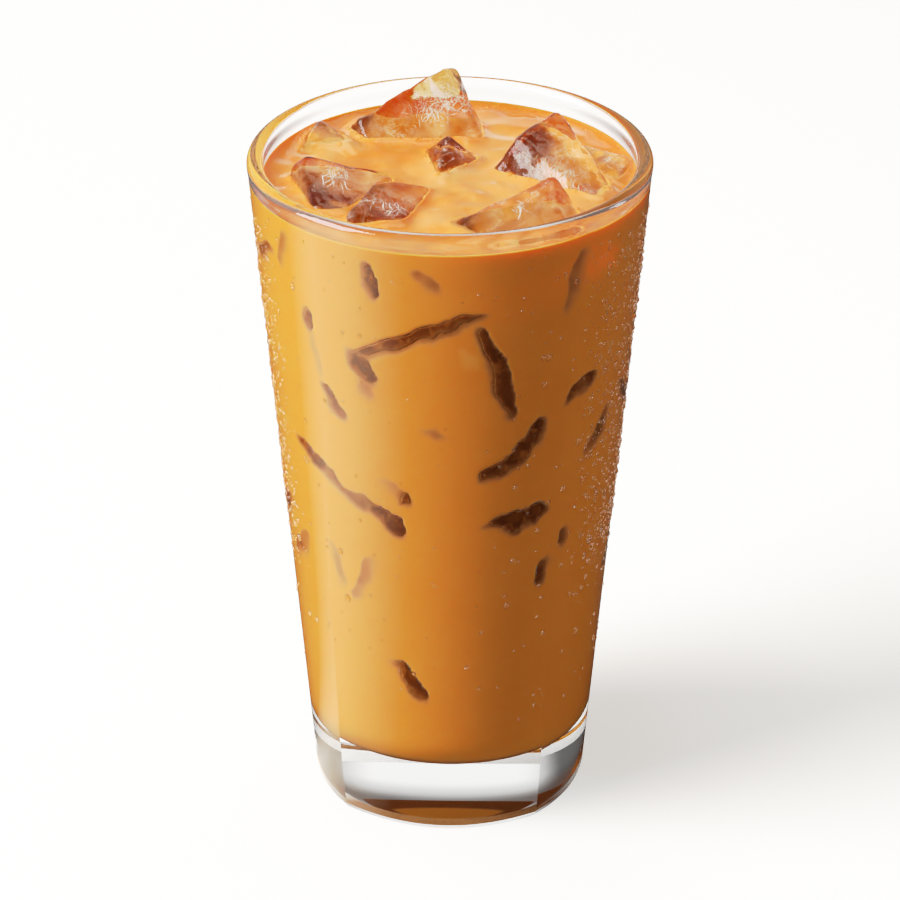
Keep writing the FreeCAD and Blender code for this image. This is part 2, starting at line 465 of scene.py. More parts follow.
# ---- ice that breaks the surface ----------------------------------------------
def build_ice(name, seed):
    src = NODES[name]
    me = src.data.copy()
    me.materials.clear()
    ob = bpy.data.objects.new(name + "_look", me)
    bpy.context.scene.collection.objects.link(ob)
    md = ob.modifiers.new("v", "REMESH")
    md.mode = "VOXEL"
    md.voxel_size = 0.55 * MM
    apply_mods(ob)
    sm = ob.modifiers.new("s", "SMOOTH")
    sm.factor, sm.iterations = 0.5, 5
    apply_mods(ob)
    co, no = verts_of(ob), normals_of(ob)
    d = -0.05 + 0.16 * waves(co, 9.0, seed) + 0.05 * waves(co, 3.2, seed + 50)
    d = np.minimum(d, 0.10)
    co = co + no * d[:, None]
    put_verts(ob, co)
    ob.data.polygons.foreach_set("use_smooth", np.ones(len(ob.data.polygons), bool))
    return ob


ICE = {nm: build_ice(nm, 11 + 3 * i) for i, nm in enumerate(ICE_NAMES)}
ICE_BVH = {nm: bvh_of(ob) for nm, ob in ICE.items()}


def wet_ice():
    """Clear ice with hair cracks, milky frost where marked, painted glints and painted shade along the ridges, and a
    skin of coffee near the waterline."""
    m = Nodes("wet_ice")
    film_and_shade, frost_and_glint, stain_and_ridge_shade = m.attr("film_and_shade"), m.attr("frost_and_glint"), m.attr("stain_and_ridge_shade")
    n = m.noise(230.0, 4.0, 0.6, 1.2)
    bump = m.t.nodes.new("ShaderNodeBump")
    bump.inputs["Strength"].default_value = 0.35
    bump.inputs["Distance"].default_value = 0.0006
    m.link(m.noise(260.0, 3.0, 0.55, 0.8), bump.inputs["Height"])
    st = m.math("MULTIPLY", stain_and_ridge_shade, m.math("ADD", m.math("MULTIPLY", m.noise(190.0, 3.0, 0.6, 1.6), 1.6), 0.26), True)
    body = m.mix(st, rgb(0.98, 0.93, 0.86), rgb(0.50, 0.205, 0.045))
    p = m.add("ShaderNodeBsdfPrincipled", Base_Color=body,
              Roughness=0.0, IOR=1.31, Transmission_Weight=1.0)
    m.link(bump.outputs[0], p.inputs["Normal"])
    lp = m.t.nodes.new("ShaderNodeLightPath")
    tr = m.t.nodes.new("ShaderNodeBsdfTransparent")
    fac = m.math("MAXIMUM", lp.outputs["Is Shadow Ray"], lp.outputs["Is Diffuse Ray"])

    def mixed(f, a, b):
        x = m.t.nodes.new("ShaderNodeMixShader")
        m.link(f, x.inputs[0])
        m.link(a, x.inputs[1])
        m.link(b, x.inputs[2])
        return x.outputs[0]

    ice = mixed(fac, p.outputs[0], tr.outputs[0])
    # frost and painted ridge glints: thin branching lines over a faint haze
    ridge = m.math("ABSOLUTE", m.math("SUBTRACT", m.noise(400.0, 4.0, 0.62, 2.4), 0.5))
    line = m.math("SUBTRACT", 1.0, m.math("MULTIPLY", ridge, 30.0), True)
    haze = m.math("MULTIPLY", m.math("SUBTRACT", m.noise(170.0, 3.0, 0.6, 1.0), 0.36, True), 2.2, True)
    amount = m.math("MULTIPLY", frost_and_glint, m.math("ADD", m.math("MULTIPLY", line, 0.85), m.math("MULTIPLY", haze, 0.10)), True)
    white = m.add("ShaderNodeBsdfPrincipled", Base_Color=rgb(0.93, 0.82, 0.67),
                  Roughness=0.25, IOR=1.31)
    frosted = mixed(amount, ice, white.outputs[0])
    skin = m.add("ShaderNodeBsdfPrincipled", Base_Color=rgb(0.88, 0.27, 0.045),
                 Roughness=0.08, IOR=1.34, Subsurface_Weight=0.4,
                 Subsurface_Radius=(1.0, 0.4, 0.15), Subsurface_Scale=0.0015)
    amt = m.math("MULTIPLY", film_and_shade, m.math("ADD", m.math("MULTIPLY", n, 1.0), 0.45), True)
    m.surface(mixed(amt, frosted, skin.outputs[0]))
    return m.mat


MAT_WET_ICE = wet_ice()
# milky places: centre on the piece, radius, strength
FROST = (
    ("ice_back", (-4.9, 25.3, 152.9), 3.2, 0.50), ("ice_back", (-0.9, 26.5, 154.3), 3.4, 0.75),
    ("ice_back", (2.6, 31.1, 154.7), 3.0, 0.75), ("ice_back", (-2.2, 23.2, 150.5), 3.2, 0.50),
    ("ice_back", (4.3, 25.8, 151.8), 2.6, 0.70), ("ice_back", (1.0, 30.4, 157.2), 2.2, 0.40),
    ("ice_back", (-9.9, 24.2, 151.5), 2.5, 0.25),
    ("ice_right", (15.5, 1.1, 150.3), 2.2, 0.50), ("ice_right", (19.4, -1.9, 149.8), 3.2, 0.60),
    ("ice_right", (23.2, -4.9, 148.8), 2.8, 0.50), ("ice_right", (28.3, -9.5, 146.7), 2.6, 0.55),
    ("ice_right", (18.0, 0.9, 152.7), 2.2, 0.30), ("ice_right", (30.8, -11.7, 145.7), 2.0, 0.60),
    ("ice_front_right", (6.5, -18.5, 149.0), 2.6, 0.85), ("ice_front_right", (9.9, -19.2, 149.8), 2.2, 0.75),
    ("ice_front_right", (15.0, -22.4, 150.3), 1.3, 0.75), ("ice_front_right", (17.6, -19.2, 151.6), 1.3, 0.65),
    ("ice_front_right", (19.7, -16.5, 152.6), 1.5, 0.50),
    ("ice_left", (-23.3, -4.0, 149.7), 2.6, 0.75), ("ice_left", (-21.5, -1.5, 150.2), 1.8, 0.55),
    ("ice_left", (-25.9, -2.8, 150.3), 1.4, 0.35), ("ice_left", (-27.8, -9.9, 148.9), 1.6, 0.40),
    ("ice_front_left", (-18.4, -17.3, 149.2), 2.2, 0.55), ("ice_front_left", (-12.1, -19.0, 147.9), 2.8, 0.60),
    ("ice_front_left", (-8.4, -14.1, 147.7), 2.2, 0.50), ("ice_front_left", (-14.7, -14.2, 148.9), 1.8, 0.50),
    ("ice_centre", (-0.7, 6.1, 151.0), 1.2, 0.60), ("ice_centre", (-2.2, 3.4, 148.5), 1.2, 0.50),
    ("ice_edge", (33.4, 6.2, 148.0), 1.3, 0.80), ("ice_low", (-30.4, 21.8, 147.9), 1.8, 0.55),
)
# how far up each piece the coffee skin clings, and how strong it is
# amber places: centre, radius, strength (minus clears)
STAIN = (
    ("ice_back", (-13.0, 25.0, 152.5), 6.0, 0.75), ("ice_back", (-8.0, 27.5, 155.0), 4.5, 0.55),
    ("ice_back", (-0.5, 31.3, 159.0), 5.0, 0.85), ("ice_back", (5.0, 28.5, 154.5), 3.6, -0.45),
    ("ice_back", (4.9, 26.8, 150.8), 2.4, 0.60),
    ("ice_right", (14.5, 5.5, 154.5), 6.5, 0.60), ("ice_right", (22.0, 8.0, 153.0), 5.0, 0.30),
    ("ice_right", (27.0, -1.0, 148.5), 4.5, 0.25), ("ice_right", (16.5, 0.0, 150.5), 6.0, 0.40),
    ("ice_front_right", (16.0, -15.0, 152.9), 4.0, 0.50), ("ice_front_right", (22.0, -14.0, 151.9), 4.0, 0.60),
    ("ice_left", (-32.0, 1.0, 151.1), 4.5, 0.80), ("ice_left", (-22.0, -5.0, 149.6), 4.0, 0.10),
    ("ice_front_left", (-10.0, -8.0, 149.2), 3.0, 0.55), ("ice_centre", (2.5, 6.5, 152.1), 3.0, 0.45),
    ("ice_edge", (36.0, 7.0, 148.9), 6.0, 0.45), ("ice_low", (-29.0, 24.0, 149.2), 6.0, 0.35),
)
SKIN = {"ice_back": (0.9, 0.30), "ice_right": (0.9, 0.30), "ice_front_right": (0.9, 0.25),
        "ice_left": (0.9, 0.35), "ice_front_left": (0.7, 0.25), "ice_centre": (1.8, 0.55),
        "ice_edge": (2.0, 0.75), "ice_low": (3.4, 0.85)}
for i, nm in enumerate(ICE_NAMES):
    ob = ICE[nm]
    ob.data.materials.clear()
    ob.data.materials.append(MAT_WET_ICE)
    co = verts_of(ob)
    top, amt = SKIN[nm]
    h = co[:, 2] - LEVEL - 0.5 * waves(co, 5.0, 90 + i)
    set_attr(ob, "film_and_shade", amt * (1 - smooth01(h / top)))
    fr = 0.05 * np.clip(waves(co, 6.0, 140 + i), 0, 1)
    for who, c, rad, a in FROST:
        if who == nm:
            d = np.linalg.norm(co - np.array(c), axis=1)
            fr = np.maximum(fr, a * (1 - smooth01((d / rad - 0.45) / 0.85)))
    # amber where melted coffee clings, and painted shade along the ridges: the edges of the clear ice darkened in
    # amber
    e = np.empty(2 * len(ob.data.edges), np.int64)
    ob.data.edges.foreach_get("vertices", e)
    a, b = e[::2], e[1::2]
    no = normals_of(ob)
    dv = co[a] - co[b]
    cv = np.sum((no[a] - no[b]) * dv, 1) / (np.sum(dv * dv, 1) + 1e-9)
    tot, cnt = np.zeros(len(co)), np.zeros(len(co))
    for q in (a, b):
        np.add.at(tot, q, cv)
        np.add.at(cnt, q, 1)
    bend = tot / np.maximum(cnt, 1)
    # painted glint: a pale line along the sharpest ridges, carried in the frost attribute
    ridge_glint = smooth01((bend - 0.34) / 0.22) * smooth01(0.5 + 0.6 * waves(co, 5.0, 190 + i))
    set_attr(ob, "frost_and_glint", np.clip(np.maximum(fr, 0.55 * ridge_glint), 0, 1))
    # the bend term is painted shade along the ridges; the rest is amber stain
    st = (0.50 if nm == "ice_back" else 0.22) + 0.22 * waves(co, 7.0, 160 + i) + 0.85 * smooth01((bend - 0.16) / 0.30)
    if nm == "ice_back":
        st = st + 0.42 * smooth01((co[:, 2] - 152.5) / 3.5) * (1 + 0.5 * waves(co, 3.0, 171))
    for who, c, rad, am in STAIN:
        if who == nm:
            d = np.linalg.norm(co - np.array(c), axis=1)
            st = st + am * (1 - smooth01((d / rad - 0.4) / 0.9))
    set_attr(ob, "stain_and_ridge_shade", np.clip(st, 0, 1))
    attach(ob, "root")
    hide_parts(nm)


# ---- ice seen through the wall, darkened with painted shade -------------------
# (points as angle from the front and height, width, darkness of the painted shade)
MARKS = [
    (((-57.3, 146.0), (-58.9, 141.5), (-61.3, 137.1)), 1.3, 0.35),
    (((-23.5, 142.9), (-22.7, 140.4), (-22.3, 137.6)), 2.0, 0.90),
    (((-8.7, 144.0), (-5.9, 142.3), (-3.6, 140.5)), 1.3, 0.45),
    (((-47.6, 127.3), (-47.2, 124.8)), 1.1, 0.80),
    (((-46.8, 124.1), (-43.5, 115.0)), 0.7, 0.25),
    (((-42.4, 111.1), (-39.8, 108.7), (-37.3, 106.3)), 1.7, 0.80),
    (((-30.6, 122.3), (-15.3, 127.4), (1.4, 132.2), (7.9, 133.7)), 1.3, 0.75),
    (((-30.3, 121.3), (-27.7, 119.3), (-24.4, 116.9)), 3.5, 0.95),
    (((-28.7, 115.8), (-25.4, 112.9)), 2.2, 0.40),
    (((10.5, 129.0), (14.3, 124.4), (16.4, 120.3), (18.3, 115.2), (20.7, 109.1)), 1.7, 0.80),
    (((41.7, 144.3), (39.4, 138.9), (37.3, 132.3)), 2.0, 0.35),
    (((51.1, 112.6), (47.4, 111.9), (40.7, 109.3)), 2.0, 0.75),
    (((60.7, 100.8), (57.4, 96.8), (52.0, 93.3)), 2.2, 0.50),
    (((29.5, 105.1), (25.5, 100.5), (19.4, 96.8), (11.9, 94.5)), 2.6, 0.95),
    (((15.3, 82.2), (21.1, 81.9), (27.1, 82.3), (32.5, 83.4)), 3.3, 1.00),
    (((42.9, 74.8), (41.9, 72.4)), 1.1, 0.60),
    (((34.7, 68.8), (33.0, 64.4)), 1.5, 0.70),
    (((-6.8, 105.8), (-3.0, 105.1)), 0.9, 0.30),
    (((-57.8, 94.2), (-51.5, 92.2), (-48.2, 90.5)), 2.0, 0.90),
    (((-48.2, 90.5), (-42.4, 88.7), (-39.1, 86.9)), 2.0, 0.65),
    (((-39.1, 86.9), (-31.7, 85.6), (-24.9, 84.2)), 2.0, 0.60),
    (((-24.9, 84.2), (-20.6, 81.9), (-17.8, 79.7)), 2.4, 0.95),
    (((-16.5, 89.5), (-13.8, 87.7)), 1.7, 0.70),
    (((-21.4, 91.5), (-17.9, 89.9)), 1.7, 0.30),
    (((-45.9, 70.7), (-43.6, 66.8), (-41.4, 62.1)), 0.9, 0.30),
    (((-31.0, 69.7), (-34.0, 65.5), (-38.3, 60.7)), 1.1, 0.40),
    (((-19.6, 44.1), (-14.5, 40.3), (-9.8, 36.5)), 2.0, 0.85),
]
# painted highlights on the coffee side: light lines just below two ice-cube edges seen through the wall, and a broad
# lighter patch near their corner (points, width, strength)
PAINTED_HIGHLIGHTS = [
    (((-28.0, 120.6), (-14.8, 125.4), (1.8, 130.3), (7.0, 131.4)), 0.9, 0.55),
    (((8.4, 128.0), (12.2, 123.6), (14.3, 119.6), (16.0, 114.8)), 0.9, 0.45),
    (((4.0, 125.0), (8.0, 121.0)), 4.0, 0.35),
]


def random_marks():
    """The same kind of ice edges, darkened with painted shade, on the sides that face away."""
    g = np.random.default_rng(424)
    out = []
    for th in np.arange(76.0, 296.0, 15.5):
        for band in range(2):
            t = th + g.uniform(-6, 6)
            z = (g.uniform(88, 138) if band == 0 else g.uniform(38, 90))
            if band == 1 and g.random() < 0.35:
                continue
            a = g.uniform(-1.2, 1.2)
            ln = g.uniform(4, 13)
            w = g.uniform(1.1, 3.0)
            dk = g.uniform(0.4, 1.0)
            k = 180.0 / math.pi / inner_r(z)
            pts = []
            bend = g.uniform(-0.5, 0.5)
            for s in (-0.5, 0.0, 0.5):
                aa = a + bend * s
                pts.append((t + k * ln * s * math.cos(aa), z + ln * s * math.sin(aa)))
            out.append((tuple(pts), w, dk))
            if g.random() < 0.35:       # a cube corner: a second edge
                aa = a + g.uniform(1.2, 1.8)
                l2 = g.uniform(5, 11)
                e = pts[-1]
                out.append((((e[0], e[1]), (e[0] + k * l2 * math.cos(aa), e[1] + l2 * math.sin(aa))),
                            w * 0.8, dk * 0.8))
    return out


ALL_MARKS = MARKS + random_marks()


def mark_field(deg, z, marks, soft, seed):
    """Strength of the painted marks at wall points (deg, z): painted shade for the ice marks, painted highlight for
    the highlight strokes.
    """
    q = np.stack([np.radians(deg) * 38.0, z], 1)
    wx = 0.28 * waves(q, 7.0, seed) + 0.05 * waves(q, 2.6, seed + 1)
    wy = 0.28 * waves(q, 7.0, seed + 2) + 0.05 * waves(q, 2.6, seed + 3)
    rough = 1.0 + 0.20 * waves(q, 5.0, seed + 4) + 0.14 * waves(q, 2.2, seed + 5)
    total = np.zeros(len(deg))
    for pts, w, dk in marks:
        r = inner_r(pts[0][1])
        ref = pts[0][0]
        x = np.radians((deg - ref + 180.0) % 360.0 - 180.0) * r + wx
        y = z + wy
        P = [(math.radians(p[0] - ref) * r, p[1]) for p in pts]
        lo = min(p[0] for p in P) - 3 * w - 4, min(p[1] for p in P) - 3 * w - 4
        hi = max(p[0] for p in P) + 3 * w + 4, max(p[1] for p in P) + 3 * w + 4
        on = (x > lo[0]) & (x < hi[0]) & (y > lo[1]) & (y < hi[1])
        if not on.any():
            continue
        xs, ys = x[on], y[on]
        d = np.full(len(xs), 1e9)
        along, over = np.zeros(len(xs)), np.zeros(len(xs))
        for i, ((ax, ay), (bx, by)) in enumerate(zip(P[:-1], P[1:])):
            vx, vy = bx - ax, by - ay
            t = np.clip(((xs - ax) * vx + (ys - ay) * vy) / (vx * vx + vy * vy), 0, 1)
            dd = np.hypot(xs - ax - t * vx, ys - ay - t * vy)
            near = dd < d
            d = np.where(near, dd, d)
            along = np.where(near, (i + t) / (len(P) - 1), along)
            ln = math.hypot(vx, vy)
            side = ((xs - ax) * -vy + (ys - ay) * vx) / ln * (1 if vx >= 0 else -1)
            over = np.where(near, side / (w + 0.3), over)
        skew = 0.62 + 0.9 * ((abs(ref) * 7.3 + pts[0][1] * 3.1) % 1.0)
        taper = 1.0 - 0.72 * np.abs(2 * np.clip(along, 0, 1) ** skew - 1) ** 2.0
        half = 0.45 * w * rough[on] * taper
        edge = soft * (1.10 - 0.75 * np.clip(over * 2.2, -1, 1))
        s = dk * (0.78 + 0.22 * taper) * (1 - smooth01((d - half * 0.3) / (half * 0.9 + edge)))
        s = s * np.clip(0.97 + 0.10 * waves(np.stack([xs, ys], 1), 5.5, seed + 7), 0.6, 1.1)
        total[on] = np.maximum(total[on], s)
    return total


def pocket_depth(film_and_shade):
    return 1.5 * smooth01((film_and_shade - 0.44) / 0.5)


# ---- coffee ------------------------------------------------------------------
def build_coffee():
    n = 420
    deg = np.arange(n) * 360.0 / n
    rows, film_and_shade, painted_highlight = [], [], []
    rb = inner_r(BASE_T + BASE_FILLET)
    bottom = BASE_T - INTO_WALL
    for r in np.linspace(2.0, rb - BASE_FILLET, 12):
        rows.append(ring_points(np.full(n, r), bottom, deg))
    fr = BASE_FILLET + INTO_WALL
    for a in np.linspace(0, math.pi / 2, 9)[1:-1]:
        rows.append(ring_points(np.full(n, rb - BASE_FILLET + fr * math.sin(a)),
                                BASE_T + BASE_FILLET - fr * math.cos(a), deg))
    low = len(rows)
    zs = np.linspace(BASE_T + BASE_FILLET, LEVEL + MENISCUS, 226)
    D, Z = np.meshgrid(deg, zs)
    # mark strength on the wall: painted shade where ice touches the glass; it also sets how deep the real pockets go
    f = mark_field(D.ravel(), Z.ravel(), ALL_MARKS, 1.75, 300).reshape(D.shape)
    f *= smooth01((LEVEL - Z) / 3.0)
    # painted highlight strokes on the wall
    g = mark_field(D.ravel(), Z.ravel(), PAINTED_HIGHLIGHTS, 0.6, 300).reshape(D.shape)
    dep = pocket_depth(f)
    for i, z in enumerate(zs):
        rows.append(ring_points(inner_r(z) + INTO_WALL - dep[i], z, deg))
    # free surface, from the wall inwards
    rw = inner_r(LEVEL + MENISCUS) + INTO_WALL
    rads = list(rw - 3.2 * (np.linspace(0, 1, 16)[1:]) ** 1.6)
    rads += list(np.linspace(rads[-1], 1.2, 74)[1:])
    top_start = len(rows)
    for r in rads:
        h = LEVEL + MENISCUS * math.exp(-(rw - r) / MEN_L)
        rows.append(ring_points(np.full(n, r), h, deg))
    v = np.concatenate(rows)
    c0, c1 = len(v), len(v) + 1
    v = np.vstack([v, [0, 0, bottom], [0, 0, LEVEL]])
    # surface swell and the small rise where the coffee climbs the ice
    top = np.concatenate([np.arange(top_start * n, c0), [c1]])
    P = v[top]
    fade = smooth01((rw - np.hypot(P[:, 0], P[:, 1])) / 4.0)
    swell = (0.20 * waves(P[:, :2], 18.0, 5) + 0.09 * waves(P[:, :2], 8.0, 6)) * fade
    rise = np.zeros(len(P))
    for j, p in enumerate(P):
        q = Vector((p[0], p[1], LEVEL))
        best = 1e9
        for t in ICE_BVH.values():
            hit = t.find_nearest(q, 4.0)
            if hit[0] is not None and hit[3] < best:
                best = hit[3]
        if best < 4.0:
            rise[j] = ICE_MEN * math.exp(-best / ICE_MEN_L)
    v[top, 2] += swell + rise
    faces = grid_faces(len(rows), n)
    last = (len(rows) - 1) * n
    for j in range(n):
        k = (j + 1) % n
        faces.append((c0, k, j))
        faces.append((c1, last + j, last + k))
    ob = make_mesh("coffee_look", v, faces)
    fa, la = np.zeros(len(v)), np.zeros(len(v))
    fa[low * n:top_start * n] = f.ravel()
    # painted shade: the drink is painted darker along its lower edge, in the corner against the base
    under = (v[:, 2] < BASE_T + 4.0) & (np.hypot(v[:, 0], v[:, 1]) > 14.0)
    fa[under] = 0.62 * (1 - smooth01((v[under, 2] - BASE_T) / 3.6))
    la[low * n:top_start * n] = g.ravel()
    set_attr(ob, "film_and_shade", fa)
    set_attr(ob, "painted_highlight", la)
    for m in (MAT_SIDE, MAT_TOP, MAT_PIT):
        ob.data.materials.append(m)
    mi = np.zeros(len(faces), np.int32)
    mi[(top_start - 1) * n:(len(rows) - 1) * n] = 1
    mi[-2 * n + 1::2] = 1
    ob.data.polygons.foreach_set("material_index", mi)
    return ob, (deg, zs, f, dep)


coffee, WALL_DATA = build_coffee()


def cut_pits(ob):
    for nm in ICE_NAMES:
        c = ICE[nm].copy()
        c.data = ICE[nm].data.copy()
        c.parent = None
        bpy.context.scene.collection.objects.link(c)
        co, no = verts_of(c), normals_of(c)
        co = co - no * 0.08
        rad = np.hypot(co[:, 0], co[:, 1])
        lim = inner_r(co[:, 2]) - 1.6 * smooth01((LEVEL - co[:, 2]) / 1.5)
        k = np.minimum(1.0, lim / np.maximum(rad, 1e-6))
        co[:, 0] *= k
        co[:, 1] *= k
        put_verts(c, co)
        c.data.materials.clear()
        for m in (MAT_SIDE, MAT_TOP, MAT_PIT):
            c.data.materials.append(m)
        c.data.polygons.foreach_set("material_index",
                                    np.full(len(c.data.polygons), 2, np.int32))
        md = ob.modifiers.new("cut", "BOOLEAN")
        md.operation = "DIFFERENCE"
        md.solver = "MANIFOLD"
        md.object = c
        apply_mods(ob)
        bpy.data.objects.remove(c)


cut_pits(coffee)
print("coffee faces", len(coffee.data.polygons), "pit faces",
      sum(1 for p in coffee.data.polygons if p.material_index == 2),
      [m.name for m in coffee.data.materials])
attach(coffee, "root")
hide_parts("coffee")


# ---- ice sunk in the coffee, where it touches the wall --------------------------
def sunk_material():
    m = Nodes("ice_under_coffee_painted_shade")
    film_and_shade = m.attr("film_and_shade")
    n = m.noise(420.0, 2.0, 0.5, 0.6)
    # painted shade: the sunk ice takes the dark brown of shaded coffee seen through clear ice, darkest in the cores,
    # with a painted orange glow mottled in by noise
    col = m.ramp(film_and_shade, [(0.0, rgb(0.36, 0.105, 0.024)), (0.42, rgb(0.36, 0.105, 0.024)),
                        (0.62, rgb(0.19, 0.042, 0.0060)), (0.82, rgb(0.11, 0.020, 0.0024)),
                        (1.0, rgb(0.17, 0.036, 0.0040))])
    deep = m.math("MULTIPLY", film_and_shade, 1.6, True)
    glow = m.mix(m.math("MULTIPLY", deep, m.math("MULTIPLY", m.math("SUBTRACT", n, 0.5, True), 2.6, True)), col, rgb(0.46, 0.13, 0.020))
    p = m.add("ShaderNodeBsdfPrincipled", Base_Color=glow, Roughness=0.25,
              IOR=1.31, Specular_IOR_Level=0.0, Subsurface_Weight=0.6,
              Subsurface_Radius=(1.0, 0.45, 0.2), Subsurface_Scale=0.0018)
    m.surface(p.outputs[0])
    return m.mat


def build_sunk():
    """Ice edges against the glass: each fills its pocket in the coffee and is coloured with painted shade."""
    n, rows = 900, 460
    deg = np.arange(n) * 360.0 / n
    zs = np.linspace(BASE_T + BASE_FILLET, LEVEL, rows)
    D, Z = np.meshgrid(deg, zs)
    f = mark_field(D.ravel(), Z.ravel(), ALL_MARKS, 1.75, 300).reshape(D.shape)
    f *= smooth01((LEVEL - Z) / 3.0)
    dep = pocket_depth(f)
    on = f > 0.42
    cell = on & np.roll(on, -1, 1)
    cell[:-1] &= on[1:] & np.roll(on, -1, 1)[1:]
    cell[-1] = False
    idx = -np.ones(f.shape, int)
    use = np.zeros(f.shape, bool)
    ii, jj = np.nonzero(cell)
    for di in (0, 1):
        for dj in (0, 1):
            use[ii + di, (jj + dj) % n] = True
    k = np.nonzero(use)
    idx[k] = np.arange(len(k[0]))
    z, a = zs[k[0]], deg[k[1]]
    outv = ring_points(inner_r(z) + 0.12, z, a)
    inv = ring_points(inner_r(z) + 0.07 - dep[k], z, a)
    m = len(z)
    faces = []
    for i, j in zip(ii, jj):
        j2 = (j + 1) % n
        q = (idx[i, j], idx[i, j2], idx[i + 1, j2], idx[i + 1, j])
        faces.append(q)
        faces.append(tuple(x + m for x in q[::-1]))
        for (p, r, oi, oj) in ((q[0], q[1], i - 1, j), (q[1], q[2], i, j2),
                               (q[2], q[3], i + 1, j), (q[3], q[0], i, j - 1)):
            if oi < 0 or oi >= rows or not cell[oi, oj % n]:
                faces.append((r, p, p + m, r + m))
    ob = make_mesh("ice_sunk", np.vstack([outv, inv]), faces)
    set_attr(ob, "film_and_shade", np.concatenate([f[k], f[k]]))
    ob.data.materials.append(sunk_material())
    print("sunk quads", len(faces))
    return ob


sunk = build_sunk()
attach(sunk, "root")


# ---- feather cracks inside the ice ----------------------------------------------
def ribbon(path, width):
    """Thin three-sided sliver along a path, tapered at both ends."""
    path = np.asarray(path)
    m = len(path)
    t = np.gradient(path, axis=0)
    t /= np.linalg.norm(t, axis=1)[:, None] + 1e-9
    up = np.array([0.31, -0.52, 0.79])
    a = np.cross(t, up)
    a /= np.linalg.norm(a, axis=1)[:, None] + 1e-9
    b = np.cross(t, a)
    w = width * np.sin(np.linspace(0.12, math.pi - 0.12, m)) ** 0.7
    v = []
    for i in range(m):
        for k in range(3):
            ang = 2 * math.pi * k / 3
            v.append(path[i] + w[i] * (a[i] * math.cos(ang) + 0.45 * b[i] * math.sin(ang)))
    f = []
    for i in range(m - 1):
        for k in range(3):
            k2 = (k + 1) % 3
            f.append((3 * i + k, 3 * i + k2, 3 * i + 3 + k2, 3 * i + 3 + k))
    f.append((2, 1, 0))
    f.append((3 * m - 3, 3 * m - 2, 3 * m - 1))
    return v, f


def inside(tree, p, gap):
    hit = tree.find_nearest(Vector(p), 30.0)
    if hit[0] is None:
        return False
    out = (Vector(p) - hit[0]).dot(hit[1])
    return out < 0 and hit[3] > gap


# piece, middle of the crack, its two directions, reach, strands
CRACKS = (
    ("ice_back", (-1.0, 27.5, 152.5), (0.75, 0.35, 0.55), (-0.55, 0.30, 0.75), 6.5, 60),
    ("ice_back", (3.0, 29.0, 154.0), (0.25, 0.15, 0.95), (0.6, -0.3, 0.2), 6.0, 46),
    ("ice_back", (-4.0, 25.5, 151.0), (0.9, 0.2, 0.3), (0.1, 0.6, 0.7), 6.0, 40),
    ("ice_right", (18.0, 0.0, 149.5), (0.72, -0.6, -0.25), (0.1, 0.3, 0.9), 6.0, 34),
    ("ice_right", (25.0, -4.5, 147.6), (0.7, -0.66, -0.2), (0.3, 0.5, 0.5), 6.0, 34),
    ("ice_front_right", (15.5, -20.5, 149.8), (-0.6, -0.7, -0.3), (0.1, 0.4, 0.9), 4.0, 26),
    ("ice_left", (-24.0, -4.5, 148.2), (0.8, -0.5, 0.0), (0.2, 0.7, 0.5), 4.5, 26),
    ("ice_front_left", (-13.0, -16.5, 147.2), (0.9, -0.2, 0.0), (0.2, 0.9, 0.2), 5.0, 36),
    ("ice_centre", (-1.0, 4.5, 149.4), (0.1, -0.5, -0.6), (0.6, 0.2, 0.2), 2.5, 14),
    ("ice_edge", (33.4, 6.2, 147.3), (0.8, 0.3, 0.2), (0.1, 0.8, 0.2), 2.2, 10),
)


def build_cracks():
    g = np.random.default_rng(77)
    V_, F_ = [], []
    n = 0
    for who, c, u, w, reach, count in CRACKS:
        tree = ICE_BVH[who]
        c, u, w = np.array(c), np.array(u), np.array(w)
        u, w = u / np.linalg.norm(u), w / np.linalg.norm(w)
        for _ in range(count):
            s0 = g.uniform(-0.8, 0.8) * reach
            side = g.choice((-1.0, 1.0))
            p = c + u * s0 + w * g.normal() * 0.6 + g.normal(size=3) * 0.35
            d = u * g.normal() * 0.5 + w * side + g.normal(size=3) * 0.18
            d /= np.linalg.norm(d)
            path = []
            for _k in range(int(g.integers(4, 11))):
                if not inside(tree, p, 0.25):
                    break
                path.append(p.copy())
                d = d + g.normal(size=3) * 0.30
                d /= np.linalg.norm(d)
                p = p + d * g.uniform(0.30, 0.62)
            if len(path) < 3:
                continue
            v, f = ribbon(path, g.uniform(0.03, 0.11))
            V_ += v
            F_ += [tuple(x + n for x in q) for q in f]
            n += len(v)
    ob = make_mesh("ice_cracks", V_, F_)
    m = Nodes("crack_white")
    p = m.add("ShaderNodeBsdfPrincipled", Base_Color=rgb(0.93, 0.89, 0.84), Roughness=0.3, IOR=1.31)
    m.surface(p.outputs[0])
    ob.data.materials.append(m.mat)
    print("crack faces", len(F_))
    return ob


cracks = build_cracks()
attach(cracks, "root")


# ---- bubbles on the coffee ---------------------------------------------------------
def ball(rings, seg):
    v = [(0, 0, -1)]
    for i in range(1, rings):
        a = -math.pi / 2 + math.pi * i / rings
        for j in range(seg):
            b = 2 * math.pi * j / seg
            v.append((math.cos(a) * math.cos(b), math.cos(a) * math.sin(b), math.sin(a)))
    v.append((0, 0, 1))
    f = []
    for j in range(seg):
        f.append((0, 1 + (j + 1) % seg, 1 + j))
        top = len(v) - 1
        f.append((top, top - seg + j, top - seg + (j + 1) % seg))
    for i in range(rings - 2):
        for j in range(seg):
            a, b = 1 + i * seg + j, 1 + i * seg + (j + 1) % seg
            f.append((a, b, b + seg, a + seg))
    return np.array(v, float), f


